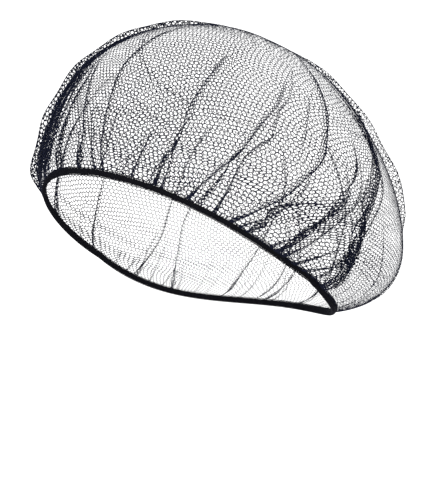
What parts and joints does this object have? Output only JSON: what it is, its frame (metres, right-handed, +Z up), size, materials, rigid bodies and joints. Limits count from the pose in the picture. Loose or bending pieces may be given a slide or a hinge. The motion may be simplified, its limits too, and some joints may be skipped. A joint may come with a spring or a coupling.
{
  "type": "hairnet",
  "caption": "Bouffant hairnet: a fine knitted net bag with radial folds, gathered onto a narrow elastic band, shaped as it is worn, with a pouch behind.",
  "frame": {"origin": "middle of the elastic band's loop, on the line between its two sides above the ears, where a head goes in", "axes": "+Z up with the head upright, -Y towards the brow, +Y towards the nape and the pouch, +X towards the wearer's left"},
  "size_m": [0.2011, 0.2331, 0.1708],
  "materials": {
    "net": "fine black nylon net with hexagonal meshes, matt with a slight sheen on the yarn",
    "elastic": "narrow black knitted elastic, matt, with fine overlocked loops along its lower edge"
  },
  "bodies": {
    "root": {"net": "net", "elastic_band": "elastic"}
  },
  "joints": []
}
